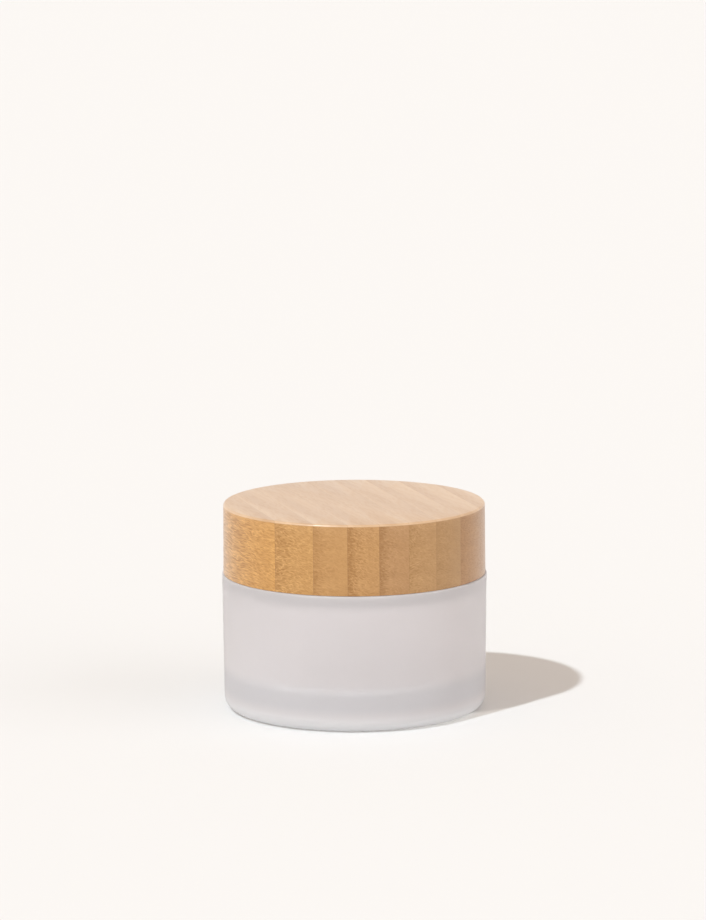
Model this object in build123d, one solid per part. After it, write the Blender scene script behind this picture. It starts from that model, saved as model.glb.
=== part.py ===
from build123d import *
import os
from math import cos, radians, tan

# Cosmetic cream jar: a thick frosted glass jar, a loose sealing disc on its rim, and a screw lid
# turned from laminated bamboo over a threaded plastic liner with a foam wad.
# Millimetres. The origin is the centre of the face the jar stands on, and +Z points up the jar.

# Glass body
jar_diameter = 62.0  # at the shoulder
jar_height = 32.0  # from the standing face to the shoulder
jar_draft = 0.6  # degrees that the wall leans in towards the base
shoulder_rounding = 0.35
heel_rounding = 2.9
wall = 5.3  # glass wall at the shoulder
base = 7.4  # glass under the cavity
shoulder_glass = 2.5  # glass between the shoulder and the cavity
cavity_rounding = 3.4
dish_depth = 0.8  # how deep the base is dished
dish_slope = 3.0  # width of the dish's sloping edge
bearing_width = 2.6  # flat ring that the jar stands on

# Neck and its thread
neck_height = 8.8
neck_wall = 3.2
neck_foot_rounding = 0.4
rim_rounding = 0.8
thread_depth = 1.05
thread_pitch = 25.4 / 6  # six turns to the inch
thread_crest = 1.2  # width of the flat top of the jar's thread
flank_angle = 30.0  # degrees that a flank leans from square
thread_foot = 1.5  # shoulder to the middle of the thread's lower end
thread_drop = 2.2  # rim to the middle of the thread's upper end
thread_fade = 24.0  # degrees over which each end of a thread runs out
thread_root_bite = 0.4  # how far a thread reaches into the wall that carries it

# Lid, from the outside in
lid_step = 0.3  # how far the lid's lower edge stands inside the shoulder
lid_draft = 0.45  # degrees that the lid leans in towards its top
lid_gap = 0.06  # shoulder to the lid's lower edge, lid tight
lid_wall = 2.6  # bamboo round the liner, at the lower edge
lid_top = 4.0  # bamboo over the liner
lid_rim_break = 0.4  # chamfer round the lid's top
lid_edge_break = 0.15  # chamfer round its lower edge
strip_width = 7.1
strip_count = 9
strip_offset = 0.45  # how far the middle strip's centre lies off the lid's axis
strip_angle = 16.5  # degrees from +X to the way across the strips
glue_thickness = 0.2
glue_margin = 0.8  # the glue stops this far inside the liner's edge

# Liner, wad and sealing disc
liner_fit = 0.05  # radial clearance, liner in bamboo
liner_wall = 1.35
liner_top = 1.2
liner_recess = 0.6  # lid's lower edge to the liner's
liner_rounding = 0.4
liner_thread_depth = 1.1
liner_thread_crest = 0.8
liner_thread_foot = 1.2  # liner's lower edge to the middle of its thread's lower end
thread_gap = 0.45  # radial clearance, jar's thread to liner's wall
flank_gap = 0.2  # clearance along the axis between the flanks that carry the lid
wad_thickness = 1.5
wad_margin = 0.3  # radial clearance, wad in liner
flange_thickness = 0.8
flange_margin = 0.3  # the disc's flange stops this far inside the neck's outside
flange_rounding = 0.2
plug_fit = 0.1  # radial clearance, plug in mouth
plug_depth = 3.4  # rim to the underside of the disc's panel
plug_wall = 0.9
plug_rounding = 0.6
panel_thickness = 0.8
tab_width = 13.0
tab_thickness = 1.2
tab_margin = 0.3  # the tab stops this far under the flange's top
tab_rounding = 1.4

# Radii, from the outside in
jar_radius = jar_diameter / 2
foot_radius = jar_radius - jar_height * tan(radians(jar_draft))
bearing_inside = foot_radius - heel_rounding - bearing_width
cavity_radius = jar_radius - wall
lid_radius = jar_radius - lid_step
hollow_radius = lid_radius - lid_wall
liner_radius = hollow_radius - liner_fit
liner_bore = liner_radius - liner_wall
thread_radius = liner_bore - thread_gap
neck_radius = thread_radius - thread_depth
mouth_radius = neck_radius - neck_wall
flange_radius = neck_radius - flange_margin
plug_radius = mouth_radius - plug_fit

# Heights, from the standing face up
cavity_top = jar_height - shoulder_glass
rim_height = jar_height + neck_height
wad_bottom = rim_height + flange_thickness
liner_ceiling = wad_bottom + wad_thickness
glue_bottom = liner_ceiling + liner_top
glue_top = glue_bottom + glue_thickness
lid_height = glue_top + lid_top
lid_edge = jar_height + lid_gap
liner_edge = lid_edge + liner_recess
panel_bottom = rim_height - plug_depth
panel_top = panel_bottom + panel_thickness
lid_top_radius = lid_radius - (lid_height - lid_edge) * tan(radians(lid_draft))

# The mouth is narrower than the cavity, and the ledge between them limits its two roundings
ledge = cavity_radius - mouth_radius
throat_rounding = min(1.2, 0.35 * ledge)
ceiling_rounding = min(2.0, 0.55 * ledge)

# Both threads rise at the same pitch, and share as many turns as the neck has room for. The
# liner's lies under the jar's by the two half widths where they meet, and a clearance.
flank = tan(radians(flank_angle))
shared_depth = thread_radius - (liner_bore - liner_thread_depth)
thread_bottom = jar_height + thread_foot
thread_turn = 360 * (neck_height - thread_drop - thread_foot) / thread_pitch
liner_thread_lag = (thread_crest + liner_thread_crest) / 2 + flank * shared_depth + flank_gap
liner_thread_bottom = liner_edge + liner_thread_foot
liner_thread_start = 360 * (liner_thread_bottom - thread_bottom + liner_thread_lag) / thread_pitch


def turned(corners):
    """A solid turned about Z, from (radius, height, rounding) for each corner of its half section."""
    points = [(radius, height) for radius, height, _ in corners]
    outline = FilletPolyline(*points, radius=[rounding for *_, rounding in corners], close=True)
    return revolve(Plane.XZ * make_face(outline), Axis.Z)


def thread_section(root, crest, crest_width):
    """A thread's section at its middle height 0: a flat crest, two flanks and a buried root."""
    buried = root + (thread_root_bite if root > crest else -thread_root_bite)
    half_crest = crest_width / 2
    half_root = half_crest + flank * abs(crest - buried)
    points = [(buried, -half_root), (crest, -half_crest), (crest, half_crest), (buried, half_root)]
    return Plane.XZ * make_face(Polyline(*points, close=True))


def thread_piece(section, start, end):
    """The section swept up a right-hand helix between two angles, at height 0 for angle 0."""
    path = Helix(thread_pitch, thread_pitch * (end - start) / 360, thread_radius)
    piece = sweep(section, path, is_frenet=True)
    return Pos(0, 0, thread_pitch * start / 360) * Rot(0, 0, start) * piece


def fade(piece, root, crest, angle):
    """Runs a thread's end out: an upright cylinder touches the crest's circle at the angle, and
    crosses the root's circle one fade further round, either way."""
    offset = (crest**2 - root**2) / (2 * (crest - root * cos(radians(thread_fade))))
    reach = 4 * jar_height
    cutter = Rot(0, 0, angle) * Pos(offset, 0, 0) * Cylinder(crest - offset, reach)
    return piece & cutter if crest > root else piece - cutter


def thread(root, crest, crest_width, start, turn):
    """A whole thread from the angle start on, with both its ends run out."""
    section = thread_section(root, crest, crest_width)
    full, last, end = start + thread_fade, start + turn - thread_fade, start + turn
    lower = fade(thread_piece(section, start, full), root, crest, full)
    upper = fade(thread_piece(section, last, end), root, crest, last)
    return lower + thread_piece(section, full, last) + upper


def glass_jar():
    body = turned(
        [
            (0, dish_depth, 0),
            (bearing_inside - dish_slope, dish_depth, dish_slope),
            (bearing_inside, 0, dish_depth),
            (foot_radius, 0, heel_rounding),
            (jar_radius, jar_height, shoulder_rounding),
            (neck_radius, jar_height, neck_foot_rounding),
            (neck_radius, rim_height, rim_rounding),
            (mouth_radius, rim_height, rim_rounding),
            (mouth_radius, cavity_top, throat_rounding),
            (cavity_radius, cavity_top, ceiling_rounding),
            (cavity_radius, base, cavity_rounding),
            (0, base, 0),
        ]
    )
    ridge = thread(neck_radius, thread_radius, thread_crest, 0, thread_turn)
    return body + Pos(0, 0, thread_bottom) * ridge


def threaded_liner():
    cap = turned(
        [
            (0, glue_bottom, 0),
            (liner_radius, glue_bottom, liner_rounding),
            (liner_radius, liner_edge, 0),
            (liner_bore, liner_edge, liner_rounding),
            (liner_bore, liner_ceiling, 0),
            (0, liner_ceiling, 0),
        ]
    )
    crest = liner_bore - liner_thread_depth
    ridge = thread(liner_bore, crest, liner_thread_crest, liner_thread_start, thread_turn)
    return cap + Pos(0, 0, thread_bottom - liner_thread_lag) * ridge


def sealing_disc():
    dish = turned(
        [
            (0, panel_bottom, 0),
            (plug_radius, panel_bottom, plug_rounding),
            (plug_radius, rim_height, 0),
            (flange_radius, rim_height, flange_rounding),
            (flange_radius, wad_bottom, flange_rounding),
            (plug_radius - plug_wall, wad_bottom, flange_rounding),
            (plug_radius - plug_wall, panel_top, plug_rounding),
            (0, panel_top, 0),
        ]
    )
    tab_height = wad_bottom - tab_margin - panel_bottom
    tab = Pos(0, 0, panel_bottom + tab_height / 2) * Box(tab_width, tab_thickness, tab_height)
    corners = tab.edges().filter_by(Axis.Y).group_by(Axis.Z)[-1]
    return dish + fillet(corners, tab_rounding)


def disc(radius, bottom, thickness):
    return Pos(0, 0, bottom + thickness / 2) * Cylinder(radius, thickness)


def bamboo_strips():
    """The turned lid, cut along its glue lines into the strips that it was laminated from."""
    block = turned(
        [
            (0, glue_top, 0),
            (hollow_radius, glue_top, 0),
            (hollow_radius, lid_edge, 0),
            (lid_radius - lid_edge_break, lid_edge, 0),
            (lid_radius, lid_edge + lid_edge_break, 0),
            (lid_top_radius, lid_height - lid_rim_break, 0),
            (lid_top_radius - lid_rim_break, lid_height, 0),
            (0, lid_height, 0),
        ]
    )
    lines = [(k - strip_count / 2) * strip_width + strip_offset for k in range(1, strip_count)]
    sides = [-jar_diameter, *lines, jar_diameter]
    strips = []
    for near, far in zip(sides, sides[1:]):
        slab = Pos((near + far) / 2, 0, 0) * Box(far - near, 2 * jar_diameter, 4 * lid_height)
        strips.append(block & Rot(0, 0, strip_angle) * slab)
    return strips


pieces = {
    "glass_jar": glass_jar(),
    "sealing_disc": sealing_disc(),
    "foam_wad": disc(liner_bore - wad_margin, wad_bottom, wad_thickness),
    "threaded_liner": threaded_liner(),
    "adhesive_layer": disc(liner_radius - glue_margin, glue_bottom, glue_thickness),
}
for number, strip in enumerate(bamboo_strips(), start=1):
    pieces[f"bamboo_strip_{number}"] = strip

os.makedirs("parts", exist_ok=True)
for name, piece in pieces.items():
    export_step(piece, f"parts/{name}.step")
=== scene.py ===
from math import cos, pi, radians, sin, tan

import bmesh
import bpy
from mathutils import Matrix, Vector


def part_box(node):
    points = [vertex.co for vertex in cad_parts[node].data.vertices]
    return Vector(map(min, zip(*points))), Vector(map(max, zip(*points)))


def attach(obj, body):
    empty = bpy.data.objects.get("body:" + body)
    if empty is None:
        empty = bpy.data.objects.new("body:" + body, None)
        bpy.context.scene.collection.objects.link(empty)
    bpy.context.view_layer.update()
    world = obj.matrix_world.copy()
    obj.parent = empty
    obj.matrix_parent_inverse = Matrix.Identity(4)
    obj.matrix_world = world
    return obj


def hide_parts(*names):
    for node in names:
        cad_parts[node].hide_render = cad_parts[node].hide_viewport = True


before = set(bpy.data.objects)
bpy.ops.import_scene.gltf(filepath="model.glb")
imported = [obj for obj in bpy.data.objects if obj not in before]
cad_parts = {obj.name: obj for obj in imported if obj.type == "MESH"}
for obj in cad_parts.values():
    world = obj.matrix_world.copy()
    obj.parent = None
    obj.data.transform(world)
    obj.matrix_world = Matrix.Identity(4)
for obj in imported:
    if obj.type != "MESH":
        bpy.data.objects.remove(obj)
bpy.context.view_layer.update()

# Cosmetic cream jar: frosted glass, a polypropylene liner and sealing disc, a foam wad, and a lid
# turned from laminated bamboo. Metres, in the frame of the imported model. The materials' patterns
# read Object coordinates in millimetres, so their scales are per millimetre.
MM = 0.001

STRIPS = 9
STRIP_WIDTH = 7.1 * MM
STRIP_OFFSET = 0.45 * MM  # the middle strip's centre lies this far off the lid's axis
STRIP_ANGLE = radians(16.5)  # from +X to the way across the strips


# ---------------------------------------------------------------- node helpers


def material(name):
    """A new material with a Principled shader, as (material, tree, shader)."""
    made = bpy.data.materials.new(name)
    made.use_nodes = True
    tree = made.node_tree
    return made, tree, tree.nodes["Principled BSDF"]


def node(tree, kind, *sources, **settings):
    """A new shader node with its settings, its first inputs linked to sockets or given values."""
    made = tree.nodes.new("ShaderNode" + kind)
    for name, value in settings.items():
        setattr(made, name, value)
    for socket, source in zip(made.inputs, sources):
        feed(tree, socket, source)
    return made


def feed(tree, socket, source):
    """Links a socket to a source socket, or gives it a value. None leaves it alone."""
    if isinstance(source, bpy.types.NodeSocket):
        tree.links.new(source, socket)
    elif source is not None:
        socket.default_value = source


def maths(tree, operation, *sources, clamp=False):
    return node(tree, "Math", *sources, operation=operation, use_clamp=clamp).outputs[0]


def ramp(tree, value, low, high, start=0.0, end=1.0):
    """Maps value from low..high to start..end on an S curve, held at both ends."""
    made = node(tree, "MapRange", value, low, high, start, end, interpolation_type="SMOOTHSTEP")
    return made.outputs[0]


def mix_colour(tree, factor, one, other):
    """Mixes two colours. A Mix node keeps them in its sockets 6 and 7, and their mix in output 2."""
    made = node(tree, "Mix", data_type="RGBA", blend_type="MIX")
    feed(tree, made.inputs["Factor"], factor)
    feed(tree, made.inputs[6], one)
    feed(tree, made.inputs[7], other)
    return made.outputs[2]


def mix(tree, factor, one, other):
    """Mixes two numbers."""
    return node(tree, "Mix", factor, None, one, other, data_type="FLOAT").outputs[0]


def noise(tree, vector, scale, detail=2.0, roughness=0.5):
    made = node(tree, "TexNoise", noise_dimensions="3D")
    feed(tree, made.inputs["Vector"], vector)
    for name, value in (("Scale", scale), ("Detail", detail), ("Roughness", roughness)):
        made.inputs[name].default_value = value
    return made.outputs[0]


def cells(tree, vector, scale, feature):
    """A pattern of cells, as the distance to a cell's middle (F1) or its edge (DISTANCE_TO_EDGE)."""
    made = node(tree, "TexVoronoi", feature=feature)
    feed(tree, made.inputs["Vector"], vector)
    made.inputs["Scale"].default_value = scale
    return made.outputs["Distance"]


def bump(tree, height, distance, strength):
    made = node(tree, "Bump")
    made.inputs["Strength"].default_value = strength
    made.inputs["Distance"].default_value = distance
    feed(tree, made.inputs["Height"], height)
    return made.outputs[0]


def millimetres(tree, turn=0.0, shift=(0.0, 0.0, 0.0)):
    """Object coordinates in millimetres, turned about Z and shifted."""
    place = node(tree, "TexCoord").outputs["Object"]
    made = node(tree, "Mapping", place, shift, (0.0, 0.0, turn), (1 / MM, 1 / MM, 1 / MM))
    return made.outputs[0]


def apart(tree, vector):
    return node(tree, "SeparateXYZ", vector).outputs


def together(tree, x, y, z):
    return node(tree, "CombineXYZ", x, y, z).outputs[0]


def srgb(red, green, blue):
    """A colour given as 0 to 255 screen values, as linear RGBA."""
    return (*[linear(v / 255) for v in (red, green, blue)], 1.0)


def linear(value):
    """The sRGB curve, from a screen value to a linear one."""
    return value / 12.92 if value <= 0.04045 else ((value + 0.055) / 1.055) ** 2.4


# ---------------------------------------------------------------- bamboo


TURNED_PALE, TURNED_DARK = srgb(211, 162, 97), srgb(163, 113, 46)
# the top's colours are partly the sanded wood's own paler tone, partly a painted sheen of light
TOP_PALE_WITH_SHEEN, TOP_DARK_WITH_SHEEN = srgb(221, 189, 154), srgb(193, 154, 115)
GLUE_COLOUR = srgb(140, 96, 54)

# each strip's tone in red, green and blue, how dark its skin side is, and how strong its grain is,
# from the strip at -X on. The tones are partly the strips' own colour and partly painted light and
# shade: they are lighter and more golden at -X, on the sun's side, and darker at +X.
STRIP_LOOKS = [
    ((1.06, 1.01, 0.85), 0.10, 0.80),
    ((0.97, 0.96, 0.94), 0.18, 0.66),
    ((0.91, 0.90, 0.96), 0.24, 0.32),
    ((0.89, 0.88, 0.96), 0.42, 0.58),
    ((0.82, 0.82, 1.03), 0.35, 0.38),
    ((0.84, 0.87, 1.06), 0.15, 0.38),
    ((0.80, 0.83, 1.00), 0.15, 0.24),
    ((0.74, 0.69, 0.71), 0.12, 0.24),
    ((0.75, 0.68, 0.62), 0.10, 0.26),
]
STRIP_SEED = 13.7  # how far apart along the fibres two neighbours' patterns are taken

# how many cells or waves a pattern has per millimetre, across the fibres and along them
WANDER_SCALE = (0.16, 0.06)
BUNDLE_SCALE = (2.8, 0.2)
THREAD_SCALE = (1.7, 0.2)
BAND_SCALE = (0.45, 0.008)
STREAK_SCALE = (0.3, 0.02)

WANDER_WIDTH = 3.0  # millimetres between a bundle's furthest wanders
SMEAR = 0.45  # the pattern's frequency across the strip, after the cut has drawn it out
SMEAR_SLOPE = 0.7  # how steeply the drawn-out marks climb
BUNDLE_CORE, BUNDLE_RIM = 0.15, 0.65  # from a bundle's middle, in cells: all dark, and no longer dark
THREAD_WIDTH = 0.06  # how far the noise may be from its middle value in a pale thread
GRAIN_STRENGTH = 0.8
DENSE_DEPTH, SPARSE_DEPTH = 0.1, 0.8  # in strip widths from the skin side
SPARSE_GRAIN = 0.5  # share of the grain that is left on the pith side
SKIN_DEPTH = 0.38  # how deep the skin side's shade reaches, in strip widths
STREAK_STRENGTH = 1.5
BAND_STRENGTH = 0.5
BASE_SHADE = 0.25
SIDE_LEAN, TOP_LEAN = 0.02, 0.35  # a face's normal along Z: still turned side, and all sanded top with its painted sheen
TOP_GRAIN = 0.25  # share of the grain that is left on the top
TOP_SKIN_LOSS = 0.6  # share of the skin side's shade that is lost on the top
GLUE_CORE, GLUE_REACH = 0.03, 0.16  # millimetres from the glue line
GLUE_STRENGTH = 0.30


def bamboo(number, near_line):
    """Laminated bamboo, one strip: a solid pattern of fibre bundles that run along the strip, dense
    and dark beside the strip's near glue line, where the culm's skin was, and sparse towards its
    pith side. The sanded top is quieter than the turned side, and paler: partly its own tone, partly
    a painted sheen of light on the upward faces and the rim."""
    mat, tree, shader = material(f"bamboo_{number}")
    # the strip's tone holds painted light and shade as well as its own colour
    tone_and_shade, skin, texture = STRIP_LOOKS[number - 1]
    place = millimetres(tree, -STRIP_ANGLE, (-near_line / MM, STRIP_SEED * number, 0.0))
    across, along, up = apart(tree, place)
    depth = maths(tree, "DIVIDE", across, STRIP_WIDTH / MM)
    facing_up = apart(tree, node(tree, "TexCoord").outputs["Normal"])[2]
    top = ramp(tree, facing_up, SIDE_LEAN, TOP_LEAN)

    # the bundles wander a little along the strip, and the turning cut smears them across it
    wander = noise(tree, stretched(tree, across, along, up, WANDER_SCALE), 1.0)
    wander = maths(tree, "MULTIPLY_ADD", wander, WANDER_WIDTH, -WANDER_WIDTH / 2)
    side = maths(tree, "MULTIPLY", maths(tree, "ADD", across, wander), SMEAR)
    climb = maths(tree, "MULTIPLY", maths(tree, "ADD", side, wander), SMEAR_SLOPE)
    tall = maths(tree, "ADD", up, climb)

    # bundles about 0.35 mm across: dark dots in end grain, dashes in long grain
    bundles = cells(tree, stretched(tree, side, along, tall, BUNDLE_SCALE), 1.0, "F1")
    dots = ramp(tree, bundles, BUNDLE_CORE, BUNDLE_RIM, start=1.0, end=0.0)

    # thin pale threads that wind between them, and slow bands where the culm grew denser
    tissue = noise(tree, stretched(tree, side, along, tall, THREAD_SCALE), 1.0, detail=1.0)
    ridge = maths(tree, "ABSOLUTE", maths(tree, "SUBTRACT", tissue, 0.5))
    pale = ramp(tree, ridge, 0.0, THREAD_WIDTH, start=1.0, end=0.0)
    bands = noise(tree, stretched(tree, side, along, tall, BAND_SCALE), 1.0)
    streaks = noise(tree, stretched(tree, across, along, up, STREAK_SCALE), 1.0, detail=1.5)
    streaks = maths(tree, "MULTIPLY_ADD", streaks, STREAK_STRENGTH, -STREAK_STRENGTH / 2)

    # how dark each place is: the grain, the strip's skin side and the bands
    threads = maths(tree, "MULTIPLY", pale, -GRAIN_STRENGTH)
    grain = maths(tree, "MULTIPLY_ADD", dots, GRAIN_STRENGTH, threads)
    fading = ramp(tree, depth, DENSE_DEPTH, SPARSE_DEPTH, start=1.0, end=SPARSE_GRAIN)
    grain = maths(tree, "MULTIPLY", grain, maths(tree, "MULTIPLY", fading, texture))
    quiet = maths(tree, "MULTIPLY_ADD", grain, TOP_GRAIN, streaks)
    grain = mix(tree, top, grain, quiet)
    skin_shade = ramp(tree, depth, 0.0, SKIN_DEPTH, start=skin, end=0.0)
    skin_share = maths(tree, "MULTIPLY_ADD", top, -TOP_SKIN_LOSS, 1.0)
    skin_shade = maths(tree, "MULTIPLY", skin_shade, skin_share)
    band_shade = maths(tree, "MULTIPLY_ADD", bands, BAND_STRENGTH, BASE_SHADE)
    shade = maths(tree, "ADD", maths(tree, "ADD", grain, skin_shade), band_shade, clamp=True)

    turned_colour = mix_colour(tree, shade, tinted(TURNED_PALE, tone_and_shade), tinted(TURNED_DARK, tone_and_shade))
    # painted sheen: the top and the rim take paler colours, partly their own tone and partly light
    top_colour_with_sheen = mix_colour(tree, shade, TOP_PALE_WITH_SHEEN, TOP_DARK_WITH_SHEEN)
    colour = mix_colour(tree, top, turned_colour, top_colour_with_sheen)

    # the glue line itself, a thin dark film
    off_line = maths(tree, "ABSOLUTE", across)
    line = ramp(tree, off_line, GLUE_CORE, GLUE_REACH, start=GLUE_STRENGTH, end=0.0)
    feed(tree, shader.inputs["Base Color"], mix_colour(tree, line, colour, GLUE_COLOUR))

    # the dots are a little rougher and lie lower than the wood, under a thin satin finish
    feed(tree, shader.inputs["Roughness"], maths(tree, "MULTIPLY_ADD", dots, 0.1, 0.36))
    shader.inputs["IOR"].default_value = 1.5
    shader.inputs["Coat Weight"].default_value = 0.7
    shader.inputs["Coat Roughness"].default_value = 0.3
    relief = maths(tree, "SUBTRACT", pale, dots)
    feed(tree, shader.inputs["Normal"], bump(tree, relief, distance=0.02 * MM, strength=0.5))
    return mat


def stretched(tree, across, along, up, scales):
    """A strip's own coordinates for a pattern, with one scale across the fibres, one along them."""
    scale, along_scale = scales
    return together(tree, maths(tree, "MULTIPLY", across, scale),
                    maths(tree, "MULTIPLY", along, along_scale), maths(tree, "MULTIPLY", up, scale))


def tinted(colour, tone_and_shade):
    """A linear RGBA colour times a tone for each of red, green and blue."""
    return (*[channel * share for channel, share in zip(colour, tone_and_shade)], 1.0)


# ---------------------------------------------------------------- glass


BODY_COLOUR = (0.858, 0.822, 0.832, 1.0)
PAINTED_BASE_SHADE = (0.750, 0.736, 0.760, 1.0)  # painted shade: the glass is coloured darker in a band beside the thick base
PAINTED_HEEL_LIGHT = (0.935, 0.945, 0.965, 1.0)  # painted light: the rounded heel is coloured lighter than the body
LAMP_COLOUR = (1.0, 0.93, 0.86, 1.0)
ETCHED_ROUGHNESS = 0.46
CLOUD_ROUGHNESS = 0.06  # how much rougher the etch is in its cloudy places
POLISHED_ROUGHNESS = 0.42
ETCHED_MILK = 0.50  # how much of the etched face scatters light back
LAMP_SHARE = 0.6  # how much of a lamp's light passes each face
BASE_LAMP_SHARE = 0.4  # the same at the foot of the base, where the way through the glass is longest

# Millimetres. The glass's inside and outside are told apart by radius, with one limit in the body's
# wall and one in the neck's, and everything under the cavity's floor counts as outside.
BODY_LIMIT, NECK_LIMIT = 27.6, 23.4
BODY_TOP, NECK_FOOT = 29.4, 29.6
UNDERSIDE_TOP = 4.0

# Heights in millimetres between which one look turns into the next. HEEL_TO_BODY ends the painted
# # light on the heel, and INTO_BASE and OUT_OF_BASE bound the band of painted shade beside the base.
HEEL_TO_BODY = (0.6, 4.6)
INTO_BASE = (2.8, 6.0)
OUT_OF_BASE = (8.0, 11.6)
BASE_TO_WALL = (1.5, 7.5)


def frosted_glass():
    """Thick flint glass, acid etched all over the outside and polished within. Lamps shine through
    it, less so through the base, and it casts a pale shadow. Its colour holds painted light at the
    heel and a band of painted shade beside the thick base."""
    mat, tree, shader = material("frosted_glass")
    place = millimetres(tree)
    x, y, z = apart(tree, place)
    square = maths(tree, "MULTIPLY_ADD", x, x, maths(tree, "MULTIPLY", y, y))
    radius = maths(tree, "POWER", square, 0.5)
    limit = ramp(tree, z, BODY_TOP, NECK_FOOT, start=BODY_LIMIT, end=NECK_LIMIT)
    outside = maths(tree, "MAXIMUM", maths(tree, "GREATER_THAN", radius, limit),
                    maths(tree, "LESS_THAN", z, UNDERSIDE_TOP))

    grain = noise(tree, place, 9.0, detail=3.0, roughness=0.6)
    cloud = noise(tree, place, 0.12)
    etched = maths(tree, "MULTIPLY_ADD", cloud, CLOUD_ROUGHNESS, ETCHED_ROUGHNESS)
    feed(tree, shader.inputs["Roughness"], mix(tree, outside, POLISHED_ROUGHNESS, etched))
    feed(tree, shader.inputs["Transmission Weight"],
         maths(tree, "MULTIPLY_ADD", outside, -ETCHED_MILK, 1.0))
    shader.inputs["IOR"].default_value = 1.5
    relief = maths(tree, "MULTIPLY", grain, outside)
    feed(tree, shader.inputs["Normal"], bump(tree, relief, distance=0.01 * MM, strength=0.4))

    # painted shade: a darker band in the glass's colour beside the thick base
    base_shade_mask = maths(tree, "MULTIPLY", ramp(tree, z, *INTO_BASE),
                  ramp(tree, z, *OUT_OF_BASE, start=1.0, end=0.0))
    # painted light: the glass's colour grows lighter down the heel towards the floor
    body = mix_colour(tree, ramp(tree, z, *HEEL_TO_BODY), PAINTED_HEEL_LIGHT, BODY_COLOUR)
    feed(tree, shader.inputs["Base Color"], mix_colour(tree, base_shade_mask, body, PAINTED_BASE_SHADE))

    share = ramp(tree, z, *BASE_TO_WALL, start=BASE_LAMP_SHARE, end=LAMP_SHARE)
    lamps = maths(tree, "MULTIPLY", node(tree, "LightPath").outputs["Is Shadow Ray"], share)
    clear = node(tree, "BsdfTransparent", LAMP_COLOUR).outputs[0]
    both = node(tree, "MixShader", lamps, shader.outputs[0], clear).outputs[0]
    tree.links.new(both, tree.nodes["Material Output"].inputs["Surface"])
    return mat


# ---------------------------------------------------------------- plastic, foam and glue


def polypropylene():
    """Natural white polypropylene with a fine spark-eroded skin."""
    mat, tree, shader = material("polypropylene")
    place = millimetres(tree)
    skin = noise(tree, place, 6.0, detail=3.0, roughness=0.55)
    flow = noise(tree, place, 0.15)
    feed(tree, shader.inputs["Base Color"],
         mix_colour(tree, flow, srgb(236, 236, 233), srgb(245, 245, 243)))
    feed(tree, shader.inputs["Roughness"], maths(tree, "MULTIPLY_ADD", skin, 0.12, 0.34))
    shader.inputs["Subsurface Weight"].default_value = 0.25
    shader.inputs["Subsurface Radius"].default_value = (1.0, 1.0, 0.9)
    shader.inputs["Subsurface Scale"].default_value = 1.0 * MM
    shader.inputs["IOR"].default_value = 1.49
    feed(tree, shader.inputs["Normal"], bump(tree, skin, distance=0.008 * MM, strength=0.5))
    return mat


def foam():
    """Closed-cell polyethylene foam: a skin over cells a few tenths of a millimetre wide."""
    mat, tree, shader = material("foam")
    walls = cells(tree, millimetres(tree), 2.4, "DISTANCE_TO_EDGE")
    wall = ramp(tree, walls, 0.0, 0.16)
    feed(tree, shader.inputs["Base Color"],
         mix_colour(tree, wall, srgb(247, 247, 245), srgb(232, 232, 229)))
    shader.inputs["Roughness"].default_value = 0.75
    feed(tree, shader.inputs["Normal"], bump(tree, wall, distance=0.06 * MM, strength=0.6))
    return mat


def adhesive():
    """Cured wood glue, amber and a little uneven."""
    mat, tree, shader = material("adhesive")
    blot = noise(tree, millimetres(tree), 0.4, detail=4.0, roughness=0.6)
    feed(tree, shader.inputs["Base Color"],
         mix_colour(tree, blot, srgb(196, 160, 96), srgb(226, 200, 146)))
    shader.inputs["Roughness"].default_value = 0.35
    feed(tree, shader.inputs["Normal"], bump(tree, blot, distance=0.1 * MM, strength=0.4))
    return mat


def cover(name, mat):
    """Gives a CAD node its material."""
    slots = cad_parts[name].data.materials
    slots.clear()
    slots.append(mat)


# ---------------------------------------------------------------- the lid's strips


LID_DRAFT = radians(0.45)  # how far the lid's side leans in towards its top
LID_RIM_ROUNDING = 0.55 * MM
LID_EDGE_ROUNDING = 0.1 * MM
LINER_FIT = 0.05 * MM  # radial clearance, liner in bamboo
TURNING_STEPS = 192
ROUNDING_STEPS = 6
SHARP_ANGLE = radians(32)  # edges that bend more than this stay sharp
WELD_DISTANCE = 1e-7
SAW_TOLERANCE = 1e-8


def piece_from(shape, name, mat):
    """A new object from a bmesh, smooth but for its sharp edges."""
    mesh = bpy.data.meshes.new(name)
    shape.to_mesh(mesh)
    mesh.materials.append(mat)
    mesh.shade_smooth()
    mesh.set_sharp_from_angle(angle=SHARP_ANGLE)
    made = bpy.data.objects.new(name, mesh)
    bpy.context.scene.collection.objects.link(made)
    return made


def turned(corners):
    """A closed body turned about Z, from (radius, height, rounding) corners that begin and end on
    the axis."""
    made = bmesh.new()
    points = [made.verts.new((radius, 0.0, height)) for radius, height, _ in corners]
    for one, other in zip(points, points[1:]):
        made.edges.new((one, other))
    for point, (_, _, rounding) in zip(points, corners):
        if rounding:
            bmesh.ops.bevel(made, geom=[point], offset=rounding, segments=ROUNDING_STEPS,
                            profile=0.5, affect="VERTICES", material=-1)
    bmesh.ops.spin(made, geom=made.verts[:] + made.edges[:], axis=(0, 0, 1), cent=(0, 0, 0),
                   angle=2 * pi, steps=TURNING_STEPS, use_merge=True)
    bmesh.ops.remove_doubles(made, verts=made.verts, dist=WELD_DISTANCE)
    bmesh.ops.recalc_face_normals(made, faces=made.faces)
    return made


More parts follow.
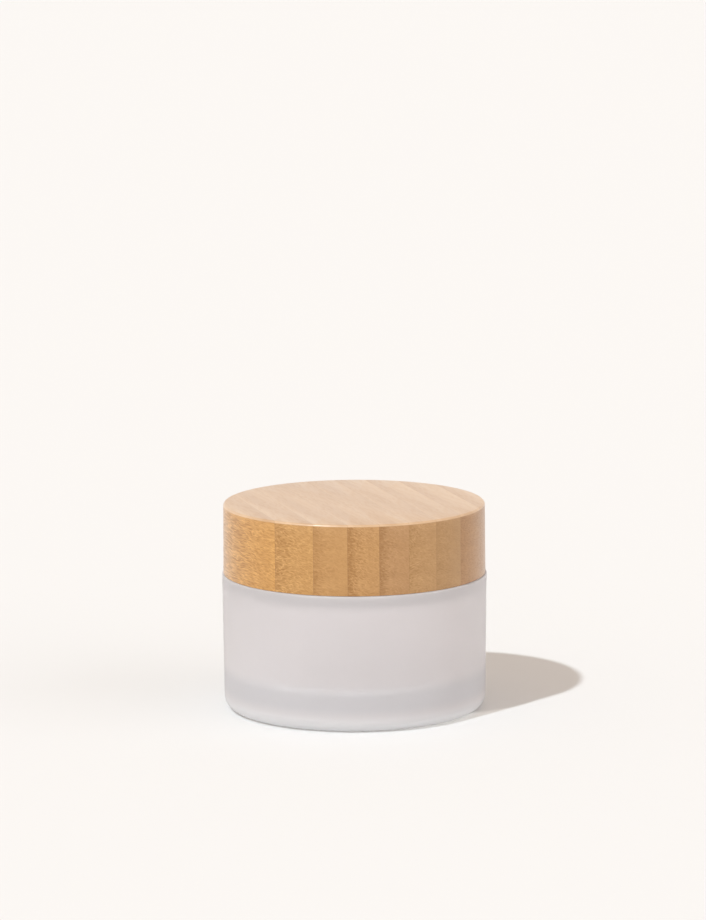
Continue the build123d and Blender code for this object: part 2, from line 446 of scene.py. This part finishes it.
def lid_block():
    """The lid before it is cut into strips, as large as the CAD's, with a rounded rim and edges."""
    boxes = [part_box(f"bamboo_strip_{n}") for n in range(1, STRIPS + 1)]
    radius = max(high.x for _, high in boxes)
    edge, top = boxes[0][0].z, boxes[0][1].z
    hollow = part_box("threaded_liner")[1].x + LINER_FIT
    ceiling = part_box("adhesive_layer")[1].z
    top_radius = radius - (top - edge) * tan(LID_DRAFT)
    return turned(
        [
            (0, ceiling, 0),
            (hollow, ceiling, 0),
            (hollow, edge, LID_EDGE_ROUNDING),
            (radius, edge, LID_EDGE_ROUNDING),
            (top_radius, top, LID_RIM_ROUNDING),
            (0, top, 0),
        ]
    )


def saw(block, offset, direction):
    """Cuts away what lies past a glue line, offset along a direction, and closes the cut."""
    cut = bmesh.ops.bisect_plane(
        block,
        geom=block.verts[:] + block.edges[:] + block.faces[:],
        dist=SAW_TOLERANCE,
        plane_co=direction * offset,
        plane_no=direction,
        clear_outer=True,
    )
    rim = [part for part in cut["geom_cut"] if isinstance(part, bmesh.types.BMEdge)]
    bmesh.ops.triangle_fill(block, edges=rim, use_beauty=True)


def bamboo_lid():
    across = Vector((cos(STRIP_ANGLE), sin(STRIP_ANGLE), 0.0))
    block = lid_block()
    for number in range(1, STRIPS + 1):
        near = (number - 1 - STRIPS / 2) * STRIP_WIDTH + STRIP_OFFSET
        strip = block.copy()
        if number > 1:
            saw(strip, -near, -across)
        if number < STRIPS:
            saw(strip, near + STRIP_WIDTH, across)
        bmesh.ops.recalc_face_normals(strip, faces=strip.faces)
        name = f"lid_strip_{number}"
        made = piece_from(strip, name, bamboo(number, near))
        strip.free()
        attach(made, "lid")
        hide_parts(f"bamboo_strip_{number}")
    block.free()


bamboo_lid()
cover("glass_jar", frosted_glass())
plastic = polypropylene()
cover("threaded_liner", plastic)
cover("sealing_disc", plastic)
cover("foam_wad", foam())
cover("adhesive_layer", adhesive())


# ---------------------------------------------------------------- floor, light and camera


FLOOR_REACH = 12.0  # from the jar to the floor's edge
FLOOR_COLOUR = (0.785, 0.785, 0.785, 1.0)
EYE_LEVEL_COLOUR = (0.965, 0.93, 0.905, 1.0)
OVERHEAD_COLOUR = (0.642, 0.542, 0.460, 1.0)
SKY_CHANGE = (0.05, 0.6)  # sines of the heights between which the one turns into the other
FOCAL_LENGTH, SENSOR_WIDTH = 170.0, 36.0  # millimetres
CAMERA_PLACE = (-0.0002, -1.0, 0.22684)
CAMERA_DIP = 9.562  # degrees under the horizon
CAMERA_ROLL = -0.29  # degrees


def floor():
    made = bmesh.new()
    bmesh.ops.create_grid(made, x_segments=1, y_segments=1, size=FLOOR_REACH)
    mat, tree, shader = material("floor")
    shader.inputs["Base Color"].default_value = FLOOR_COLOUR
    shader.inputs["Roughness"].default_value = 0.9
    shader.inputs["Specular IOR Level"].default_value = 0.0
    plane = piece_from(made, "floor", mat)
    made.free()


def lamp(name, energy, angle, colour, travels, mirrored=True):
    """A distant lamp: its light travels along a direction, and spreads over an angle in degrees.
    One that isn't mirrored adds no gloss."""
    made = bpy.data.lights.new(name, "SUN")
    made.energy = energy
    made.angle = radians(angle)
    made.color = colour
    holder = bpy.data.objects.new(name, made)
    holder.rotation_euler = Vector(travels).to_track_quat("-Z", "Y").to_euler()
    holder.visible_glossy = mirrored
    bpy.context.scene.collection.objects.link(holder)


def sky():
    """A pale room: near white at eye level, warmer and dimmer overhead."""
    world = bpy.data.worlds.new("sky")
    world.use_nodes = True
    tree = world.node_tree
    height = apart(tree, node(tree, "TexCoord").outputs["Generated"])[2]
    overhead = ramp(tree, height, *SKY_CHANGE)
    colour = mix_colour(tree, overhead, EYE_LEVEL_COLOUR, OVERHEAD_COLOUR)
    feed(tree, tree.nodes["Background"].inputs["Color"], colour)
    bpy.context.scene.world = world


def camera():
    lens = bpy.data.cameras.new("camera")
    lens.lens = FOCAL_LENGTH
    lens.sensor_width = SENSOR_WIDTH
    made = bpy.data.objects.new("camera", lens)
    place = Matrix.Translation(CAMERA_PLACE)
    tilt = Matrix.Rotation(radians(90 - CAMERA_DIP), 4, "X")
    roll = Matrix.Rotation(radians(CAMERA_ROLL), 4, "Z")
    made.matrix_world = place @ tilt @ roll
    bpy.context.scene.collection.objects.link(made)
    bpy.context.scene.camera = made


floor()
lamp("sun", energy=2.1, angle=2.0, colour=(0.92, 1.0, 1.05), travels=(0.398, 0.471, -0.787))
lamp("fill", energy=0.74, angle=60.0, colour=(0.94, 0.98, 1.03), travels=(-0.85, 0.39, -0.36),
     mirrored=False)
sky()
camera()
bpy.context.scene.view_settings.view_transform = "Standard"
